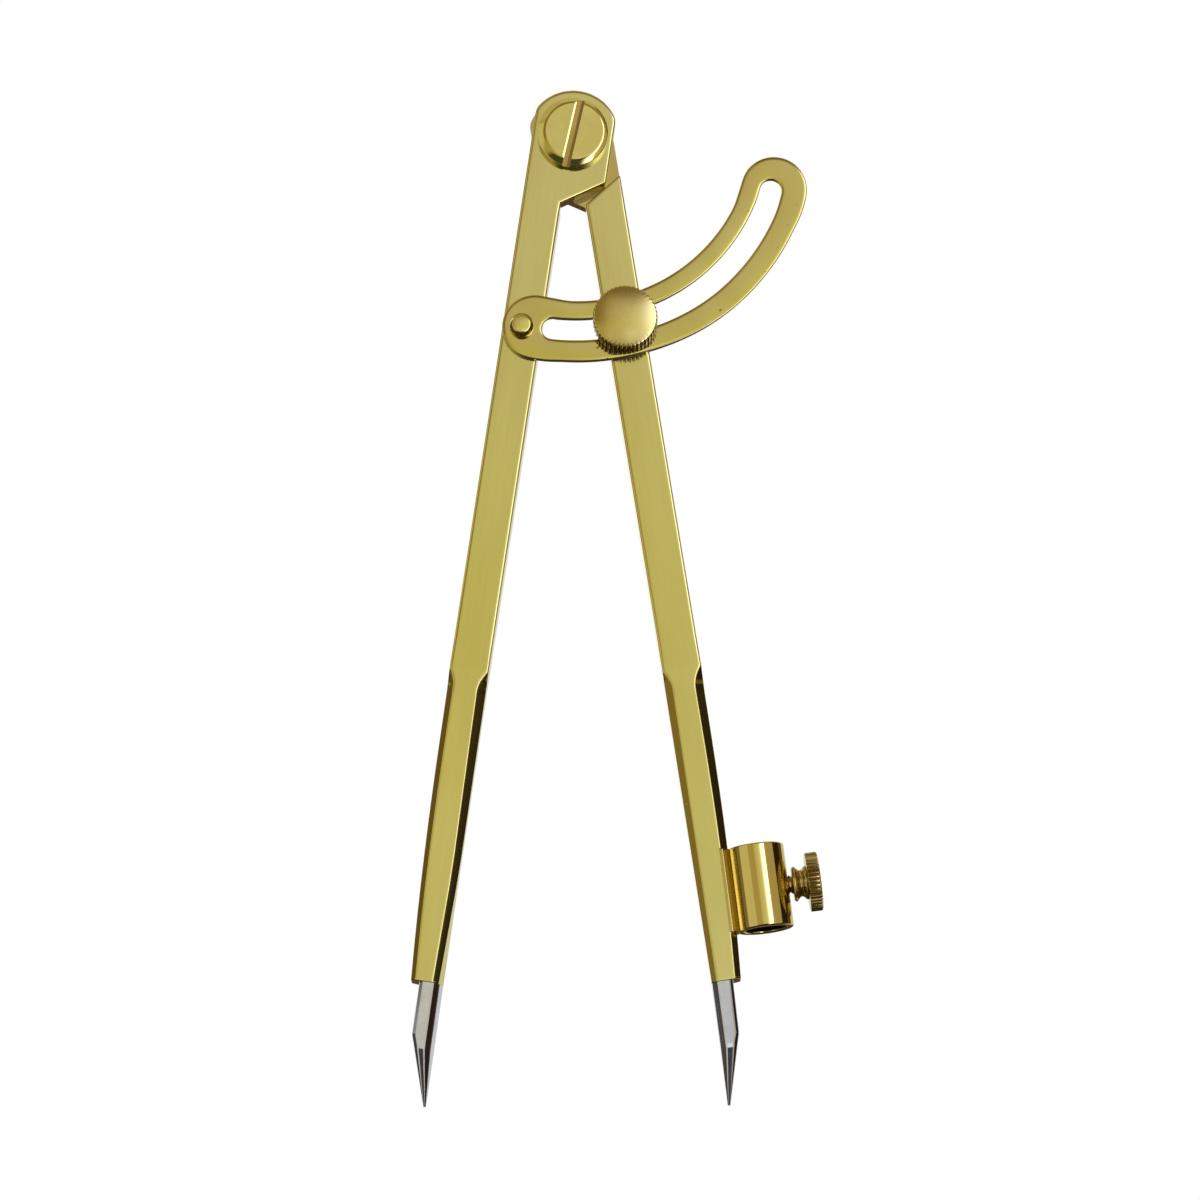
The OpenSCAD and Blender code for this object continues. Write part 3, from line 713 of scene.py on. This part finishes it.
def wingPlate(wing):
    bm = bmesh.new()
    middle = Vector((wing["shift"], frontFace, 0))
    slot = Vector((wing["slotShift"], frontFace, 0))
    radius, half, slotHalf = wing["radius"], wing["half"], wing["slotHalf"]
    (riseAt, riseBy), (fallAt, fallBy) = wing["bellyRise"], wing["bellyFall"]

    def swell(vert, share):  # the arc runs a little fuller between its ends
        off = vert.co - middle
        angle = degrees(atan2(off.x, -off.z))
        full = eased((angle - riseAt) / riseBy) * (1 - eased((angle - fallAt) / fallBy))
        vert.co += off.normalized() * wing["belly"] * share * full

    ends = [middle + radius * Vector((sin(a), 0, -cos(a))) for a in (wing["start"], wing["end"])]
    for vert in trackLoop(bm, Vector((wing["shift"], 0, 0)), radius, half, wing["start"], wing["end"], wing):
        for end in ends:  # the round ends are a little wider than the arc
            away = vert.co - end
            near = (wing["blend"] - away.length) / (wing["blend"] - half)
            vert.co += away.normalized() * (wing["endHalf"] - half) * eased(near)
        swell(vert, eased(((vert.co - middle).length - radius) / half / 2 + 0.5))
    for vert in trackLoop(bm, Vector((wing["slotShift"], 0, 0)), wing["slotRadius"], slotHalf,
            wing["slotStart"], wing["slotEnd"], wing):
        side = ((vert.co - slot).length - wing["slotRadius"]) / slotHalf / 2 + 0.5
        swell(vert, wing["slotBelly"] + (1 - wing["slotBelly"]) * eased(side))
    bmesh.ops.bridge_loops(bm, edges=bm.edges[:])
    push(bm, bm.faces[:], -wing["thickness"])
    bmesh.ops.recalc_face_normals(bm, faces=bm.faces[:])
    for depth, edge in ((frontFace - wing["thickness"], wing["frontEdge"]), (frontFace, wing["backEdge"])):
        rim = [e for e in cornerEdges(bm, wing["fold"]) if all(abs(v.co.y - depth) < tiny for v in e.verts)]
        roundOff(bm, rim, *edge)
    bmesh.ops.recalc_face_normals(bm, faces=bm.faces[:])
    softRim(bm, [f for f in bm.faces if f.normal.y < -faceOn], wing["rim"], wing["rimRise"])
    return bm


wingBody = carve(moved(wingPlate(wingSize), onLeft), moved(bar(*holes["wingRivet"]), atRivet))
finishPiece("wing", wingBody, "left_side", wingBrass, ["wing"])

rivetSize = {"radius": 2.35, "top": 1.75, "wall": 1.2, "height": 2.2, "shank": 1.5, "depth": -6.2,
    "edge": 0.2, "steps": 72, "fold": 20}


def rivet(pin):
    bm = turned([(0, pin["depth"]), (pin["shank"], pin["depth"]), (pin["shank"], 0), (pin["radius"], 0),
        (pin["radius"], pin["wall"]), (pin["top"], pin["height"]), (0, pin["height"])], pin["steps"])
    rim = [e for e in cornerEdges(bm, pin["fold"]) if e.verts[0].co.z > pin["wall"] / 2]
    roundOff(bm, rim, pin["edge"])
    return bm


rivetPlace = onLeft @ Matrix.Translation(rivetSpot + Vector((0, wingFace, 0))) @ toFront
finishPiece("wingRivet", moved(rivet(rivetSize), rivetPlace), "left_side", rivetBrass,
    ["wing_rivet"])


# pivot

screwSize = {"radius": 6.85, "wall": 1.8, "top": 5.75, "height": 2.3, "rimEdge": (0.16, 8),
    "topEdge": (0.3, 6), "fold": 15, "steps": 128, "askew": (0.35, 0.22), "slotHalf": 0.75, "slotDepth": 1.2,
    "slotShift": 0.7, "lip": (0.3, radians(12)), "lipCut": (1.5, 3), "brim": 0.2, "reach": 9, "cutTop": 5,
    "shank": 3.0, "plainEnd": -8.3, "end": -12.2, "pitch": 1.0, "threadDepth": 0.4, "overlap": 0.2}


def pivotScrew(screw):
    wall, height, slotHalf, reach = screw["wall"], screw["height"], screw["slotHalf"], screw["reach"]
    bm = turned([(0, screw["plainEnd"]), (screw["shank"], screw["plainEnd"]), (screw["shank"], 0),
        (screw["radius"], 0), (screw["radius"], wall), (screw["top"], height), (0, height)], screw["steps"])
    for level, edge in ((height, screw["topEdge"]), (wall, screw["rimEdge"])):
        rim = [e for e in cornerEdges(bm, screw["fold"]) if all(abs(v.co.z - level) < slack for v in e.verts)]
        roundOff(bm, rim, *edge)
    right, up = screw["askew"]
    for vert in bm.verts:  # the flat is ground a little off the middle
        rise = clamped((vert.co.z - wall) / (height - wall))
        vert.co.x += right * rise
        vert.co.y += up * rise
    low = height - screw["slotDepth"]
    along = Matrix.Translation((right * screw["slotShift"], 0, 0)) @ Matrix.Rotation(-slotLean, 4, "Z")
    slot = block((-slotHalf, -reach, low), (slotHalf, reach, screw["cutTop"]))
    width, slope = screw["lip"]  # the slot's left lip is eased
    lipPlace = Matrix.Translation((-slotHalf - width, 0, height)) @ Matrix.Rotation(slope, 4, "Y")
    across, high = screw["lipCut"]
    lip = block((0, -reach, 0), (across, reach, high))
    bm = carve(bm, moved(slot, along), moved(lip, along @ lipPlace))
    inside = along.inverted()
    loose, top = 0.01, height - screw["brim"]
    for face in bm.faces:  # floor and walls of the slot, below its bright brim
        spot = inside @ face.calc_center_median()
        if low - loose < spot.z < top and abs(spot.x) < slotHalf + loose:
            face.material_index = 1
    tailEnd = screw["plainEnd"] + screw["overlap"]
    return joined(bm, thread(screw["shank"], screw["threadDepth"], screw["pitch"], screw["end"], tailEnd))


pivotPlace = Matrix.Translation((0, frontFace, 0)) @ toFront
finishPiece("pivotScrew", moved(pivotScrew(screwSize), pivotPlace), "pivot", screwBrass,
    ["pivot_screw"], sharp=10, second=slotBrass)

washerSize = {"inner": 3.05, "outer": 6.5, "thickness": 0.8, "edge": (0.14, 2), "fold": 40}


def flatWasher(ring):
    inner, outer, high = ring["inner"], ring["outer"], ring["thickness"]
    bm = turned([(inner, 0), (outer, 0), (outer, high), (inner, high)], closed=True)
    roundOff(bm, cornerEdges(bm, ring["fold"]), *ring["edge"])
    return bm


washerPlace = Matrix.Translation((0, backFace, 0)) @ toBack
finishPiece("pivotWasher", moved(flatWasher(washerSize), washerPlace), "pivot", screwBrass,
    ["pivot_washer"])

nutSize = {"flats": 10, "thickness": 3.5, "hole": 3.02, "crown": 5.05, "margin": 0.5,
    "under": -1, "lead": (0.5, 0.4, 0.1), "holeSteps": 72}


def hexNut(nut):
    bm = bmesh.new()
    high, hole, crown, under = nut["thickness"], nut["hole"], nut["crown"], nut["under"]
    radius = nut["flats"] / 2 / cos(pi / 6)
    bmesh.ops.create_cone(bm, cap_ends=True, segments=6, radius1=radius, radius2=radius, depth=high)
    bmesh.ops.rotate(bm, cent=origin, matrix=Matrix.Rotation(pi / 6, 3, "Z"), verts=bm.verts[:])
    bmesh.ops.translate(bm, vec=(0, 0, high / 2), verts=bm.verts[:])
    outside = radius + nut["margin"]
    rise = (outside - crown) * tan(pi / 6)
    bowl = turned([(0, under), (outside, under), (outside, high - rise), (crown, high), (0, high)])
    bm = carve(bm, bowl, operation="INTERSECT")
    wider, deep, over = nut["lead"]  # the hole is opened at the outside
    drill = turned([(0, under), (hole, under), (hole, high - deep), (hole + wider, high + over),
        (0, high + over)], nut["holeSteps"])
    return carve(bm, drill)


nutPlace = Matrix.Translation((0, backFace + washerSize["thickness"], 0)) @ toBack
finishPiece("pivotNut", moved(hexNut(nutSize), nutPlace), "pivot", screwBrass, ["pivot_nut"],
    sharp=20)


# lock

knobSize = {"radius": 6.2, "height": 4.9, "crown": 0.46, "teeth": 44, "toothSteps": 6, "groove": 0.34,
    "hole": 1.3, "holeDepth": 3.2, "foot": [(0.5, 0), (0.2, 0.12), (0, 0.4)],
    "brow": [(0, 0.3), (0.06, 0.16), (0.2, 0.04)], "faceInset": 0.42, "faceSteps": 8}


def lockKnob(knob):
    radius, height = knob["radius"], knob["height"]
    profile = [(0, knob["holeDepth"]), (knob["hole"], knob["holeDepth"]), (knob["hole"], 0)]
    profile += rimProfile(radius, 0, knob["foot"]) + rimProfile(radius, height, knob["brow"], -1)
    profile += dome(radius - knob["faceInset"], height, knob["crown"], knob["faceSteps"])
    bm = turned(profile, knob["teeth"] * knob["toothSteps"])
    knurl(bm, radius, knob["teeth"], knob["groove"])
    return bm


knobPlace = onRight @ Matrix.Translation(lockSpot + Vector((0, wingFace, 0))) @ toFront
finishPiece("lockKnob", moved(lockKnob(knobSize), knobPlace), "lock_grip", knobBrass,
    ["lock_knob"])
studSize = {"radius": 1.2, "depth": 0.2, "pitch": 0.45, "start": -6.2, "end": 2.7}
finishPiece("lockStud", moved(thread(**studSize), knobPlace), "lock_shank", knobBrass,
    ["lock_stud"])


# pencil holder

tubeSize = {"inner": 4.0, "outer": 5.4, "half": 8.0, "steps": 128, "centre": 5.72, "edge": (0.38, 5),
    "fold": 60, "flat": ((-9, -9, -12), (-4.92, 9, 12)), "hole": (1.85, 1, 9)}


def holderTube(tube):
    inner, outer, half = tube["inner"], tube["outer"], tube["half"]
    bm = turned([(inner, -half), (outer, -half), (outer, half), (inner, half)], tube["steps"], closed=True)
    roundOff(bm, cornerEdges(bm, tube["fold"]), *tube["edge"])
    return carve(bm, block(*tube["flat"]), moved(bar(*tube["hole"]), toSide))


tubePlace = onHolder @ Matrix.Translation((tubeSize["centre"], 0, 0))
finishPiece("pencilHolder", moved(holderTube(tubeSize), tubePlace), "right_side", tubeBrass,
    ["pencil_holder"])

padSize = {"low": (-1.2, -2.825, -8), "high": (0.8, 2.825, 8), "cut": 1.3, "edge": (0.12, 2), "fold": 30}


def holderPad(pad):  # its long outer corners are cut like the leg's
    bm = block(pad["low"], pad["high"])
    outside = [e for e in bm.edges if all(abs(v.co.x - pad["high"][0]) < tiny for v in e.verts)
        and abs(e.verts[0].co.z - e.verts[1].co.z) > tiny]
    roundOff(bm, outside, pad["cut"], 1)
    roundOff(bm, cornerEdges(bm, pad["fold"]), *pad["edge"])
    return bm


finishPiece("holderPad", moved(holderPad(padSize), onHolder), "right_side", padBrass,
    ["holder_pad"])

clampSize = {"start": 11.85, "hole": 1.85, "holeDepth": 3.4, "teeth": 44, "toothSteps": 6, "groove": 0.3,
    "collar": 3.35,
    "collarRim": [(0.5, 0), (0.25, 0.08), (0.08, 0.26), (0, 0.42), (0.03, 0.56), (0.12, 0.68)],
    "neck": 2.5, "coveDepth": 0.72, "coveStart": 0.78, "coveLength": 1.62, "coveSteps": 9,
    "lip": 3.2, "lipRim": [(0.08, 2.45), (0, 2.55), (0, 2.72), (0.1, 2.8)],
    "head": 5.6, "headStart": 2.8, "foot": [(0.5, 0), (0.22, 0.06), (0.04, 0.16), (0, 0.26)],
    "end": 5.25, "brow": [(0, 0.3), (0.05, 0.18), (0.22, 0.06), (0.5, 0)], "faceInset": 0.5, "crown": 0.14,
    "faceSteps": 5}


def clampKnob(clamp):
    head, count = clamp["head"], clamp["coveSteps"]
    shares = [(i + 0.5) / count for i in range(count)]
    cove = [(clamp["neck"] + clamp["coveDepth"] * (1 - sin(pi * share)),
        clamp["coveStart"] + clamp["coveLength"] * share) for share in shares]
    profile = [(0, clamp["holeDepth"]), (clamp["hole"], clamp["holeDepth"]), (clamp["hole"], 0)]
    profile += rimProfile(clamp["collar"], 0, clamp["collarRim"]) + cove
    profile += rimProfile(clamp["lip"], 0, clamp["lipRim"])
    profile += rimProfile(head, clamp["headStart"], clamp["foot"])
    profile += rimProfile(head, clamp["end"], clamp["brow"], -1)
    profile += dome(head - clamp["faceInset"], clamp["end"], clamp["crown"], clamp["faceSteps"], 1)
    bm = turned(profile, clamp["teeth"] * clamp["toothSteps"])
    knurl(bm, head, clamp["teeth"], clamp["groove"])
    return bm


clampPlace = onHolder @ Matrix.Translation((clampSize["start"], 0, 0)) @ toSide
finishPiece("clampKnob", moved(clampKnob(clampSize), clampPlace), "clamp_grip", clampBrass,
    ["clamp_knob"])
clampThread = {"radius": 1.8, "depth": 0.35, "pitch": 0.7, "start": -1.9, "end": 3.15}
finishPiece("clampScrew", moved(thread(**clampThread), clampPlace), "clamp_shank", clampBrass,
    ["clamp_screw"])


# floor, at the level of the points

floorLook = {"radius": 3, "steps": 128, "below": 0.0004, "grey": (0.86, 0.86, 0.86, 1), "rough": 0.9,
    "fade": (0.22, 0.75)}  # in metres


def makeFloor(look):
    bm = bmesh.new()
    bmesh.ops.create_circle(bm, cap_ends=True, segments=look["steps"], radius=look["radius"])
    bmesh.ops.translate(bm, vec=(0, 0, cadBox[0].z - look["below"]), verts=bm.verts[:])
    floor = placed("paleFloor", meshOf("paleFloor", bm))
    material, shader, place = newMaterial("floorPaint")
    tree = material.node_tree
    shader.inputs["Base Color"].default_value = look["grey"]
    shader.inputs["Roughness"].default_value = look["rough"]
    shader.inputs["Specular IOR Level"].default_value = 0.0
    grey = Link(tree, shader.outputs[0])
    white = place.node("ShaderNodeEmission", None, {"Color": (1, 1, 1, 1), "Strength": 1.0})
    away = place.length().ramp(*look["fade"])
    paint = place.node("ShaderNodeMixShader", None, {0: away, 1: grey, 2: white})
    clear = place.node("ShaderNodeBsdfTransparent")
    eye = place.node("ShaderNodeLightPath", None, None, "Is Camera Ray")
    below = place.node("ShaderNodeNewGeometry", None, None, "Backfacing")
    shown = place.node("ShaderNodeMixShader", None, {0: eye * below, 1: paint, 2: clear})
    tree.links.new(shown.socket, tree.nodes["Material Output"].inputs["Surface"])
    floor.data.materials.append(material)
    floor.visible_glossy = False


makeFloor(floorLook)


# studio light

# degrees throughout: azimuth from the front with + to the right, elevation up from the level
# three values are a band with its softness, two are a ramp
studio = {
    "room": (0.126, 0.078, 0.036),
    "ceiling": ((26, 40), (0.30, 0.21, 0.10)),
    "overhead": ((54, 64), (0.60, 0.54, 0.38)),
    "panels": {  # azimuth, elevation, colour
        "backWallLeft": ((-185, -124, 3), (-45, 42, 5), (1.0, 1.0, 1.0)),
        "backWallRight": ((128, 185, 3), (-45, 42, 5), (0.74, 0.73, 0.68)),
        "leftWall": ((-71, -32, 2.5), (-36, 28, 4), (0.68, 0.63, 0.46)),
        "leftCeiling": ((-76, -26, 3), (28, 62, 4), (0.56, 0.50, 0.35)),
        "rightCeiling": ((26, 70, 3), (28, 62, 4), (0.38, 0.31, 0.19)),
        "backLowLeft": ((-185, -124, 3), (-50, -3, 3), (0.09, 0.055, 0.025)),
        "backLowMiddle": ((156, 185, 3), (-50, -3, 3), (0.09, 0.055, 0.025)),
        "leftCorner": ((-32, -10, 2.5), (-40, 30, 4), (0.41, 0.30, 0.145)),
        "leftCornerLow": ((-32, -10, 2.5), (-40, 11, 1.5), (0.50, 0.41, 0.22)),
        "leftCornerHigh": ((-32, -9, 2.5), (10, 30, 3), (0.28, 0.20, 0.085)),
        "rightCorner": ((33.5, 73, 1.0), (-36, 28, 4), (0.49, 0.40, 0.28)),
        "rightCornerLow": ((33, 46, 6), (-36, 12, 2), (0.72, 0.62, 0.40)),
        "rightScreen": ((73, 106, 1.5), (-36, 40, 4), (0.17, 0.115, 0.05)),
        "darkScreenLow": ((73, 106, 1.5), (-36, 3.5, 1.2), (0.022, 0.016, 0.011)),
        "darkScreenHigh": ((73, 106, 1.5), (9.5, 20, 1.2), (0.022, 0.016, 0.011)),
        "leftFarLow": ((-86, -71, 1), (-36, 7, 3), (0.26, 0.19, 0.085)),
        "leftFarDark": ((-124, -86, 1), (-36, 9, 2), (0.07, 0.062, 0.05)),
        "leftFarHigh": ((-124, -73, 3), (10, 28, 3), (0.155, 0.10, 0.042)),
        "leftFarPale": ((-104, -86, 1), (13.8, 16.0, 0.7), (0.40, 0.40, 0.41)),
        "lowFront": ((-30, 30, 3), (-34, -8, 3), (0.06, 0.061, 0.066)),
        "floorGlint": ((-1, 9, 2), (-49, -40, 2), (0.60, 0.52, 0.36)),
    },
    "glow": ((-13, 10), (0.50, 0.43, 0.22), (0.86, 0.86, 0.82)),  # what the flat fronts see
    "glowField": ((-12, 34, 2), (-4, 28, 4)),
    "tints": {  # azimuth if any, elevation, share, colour
        "middle": (None, (8.6, 13.2, 1.4), 0.3, (0.66, 0.60, 0.30)),
        "high": (None, (13.2, 14.8), 0.5, (0.68, 0.62, 0.76)),
        "low": (None, (8.2, 6.6), 0.7, (0.70, 0.67, 0.60)),
        "rightLow": ((0.4, 7, 0.7), (7.35, 8.15, 0.25), 0.75, (0.56, 0.52, 0.46)),
        "rightEnd": ((0.4, 7, 0.7), (7.2, 6.8), 1.0, (0.92, 0.94, 1.05)),
        "leftLow": ((-8, -0.3, 0.6), (7.5, 8.8, 0.5), 0.5, (0.88, 0.80, 0.56)),
        "leftMiddle": ((-8, -0.3, 0.6), (9.2, 13.2, 0.6), 0.5, (0.71, 0.66, 0.36)),
        "above": (None, (17, 28), 0.6, (0.26, 0.18, 0.07)),
    },
    "key": ((9, 25), (9, 33.2, 0.5), (-34, 26, 3), (2.7, 2.75, 4.4)),
    "underside": ((-36, -46), (0.05, 0.036, 0.018)),
}


def makeStudio(room):
    world = bpy.data.worlds.new("studio")
    world.use_nodes = True
    world.cycles.sampling_method = "NONE"
    bpy.context.scene.world = world
    tree = world.node_tree
    start = Link(tree, tree.nodes.new("ShaderNodeTexCoord").outputs["Generated"])
    x, y, z = (start.part(axis) for axis in range(3))
    azimuth = x.sum("ARCTAN2", x, y * -1) * degrees(1)
    elevation = z.sum("ARCSINE", z) * degrees(1)
    colour = room["room"]
    for limits, shade in (room["ceiling"], room["overhead"]):
        colour = elevation.ramp(*limits).mixColour(colour, shade)
    for across, upright, shade in room["panels"].values():
        colour = (azimuth.band(*across) * elevation.band(*upright)).mixColour(colour, shade)
    sides, dim, bright = room["glow"]
    glow = azimuth.ramp(*sides).mixColour(dim, bright)
    for across, upright, share, shade in room["tints"].values():
        field = elevation.band(*upright) if len(upright) == 3 else elevation.ramp(*upright)
        field = azimuth.band(*across) * field if across else field
        glow = (field * share).mixColour(glow, shade)
    across, upright = room["glowField"]
    colour = (azimuth.band(*across) * elevation.band(*upright)).mixColour(colour, glow)
    rise, across, upright, shade = room["key"]
    colour = (azimuth.ramp(*rise) * azimuth.band(*across) * elevation.band(*upright)).mixColour(colour, shade)
    limits, shade = room["underside"]
    colour = elevation.ramp(*limits).mixColour(colour, shade)
    glossy = start.node("ShaderNodeLightPath", None, None, "Is Glossy Ray")
    colour = glossy.mixColour((1, 1, 1), colour)  # white for all but reflections
    background = tree.nodes["Background"]
    feed(background, "Color", colour)
    background.inputs["Strength"].default_value = 1.0


makeStudio(studio)
print("studio ready")


# camera, below the level of the points and far off, looking a little up

cameraView = {"lens": 189, "sensor": 36, "clip": (0.05, 20), "target": (4.74, -3.75, -92.054),
    "distance": 1200, "tilt": radians(12), "roll": radians(-0.35)}


def makeCamera(view):
    data = bpy.data.cameras.new("viewer")
    data.lens = view["lens"]
    data.sensor_width = view["sensor"]
    data.clip_start, data.clip_end = view["clip"]
    camera = placed("viewer", data)
    aim = Matrix.Rotation(pi / 2 + view["tilt"], 4, "X") @ Matrix.Rotation(view["roll"], 4, "Z")
    back = aim @ Vector((0, 0, view["distance"] * mm))
    camera.matrix_world = Matrix.Translation(Vector(view["target"]) * mm + back) @ aim
    bpy.context.scene.camera = camera


makeCamera(cameraView)
bpy.context.scene.view_settings.view_transform = "Standard"
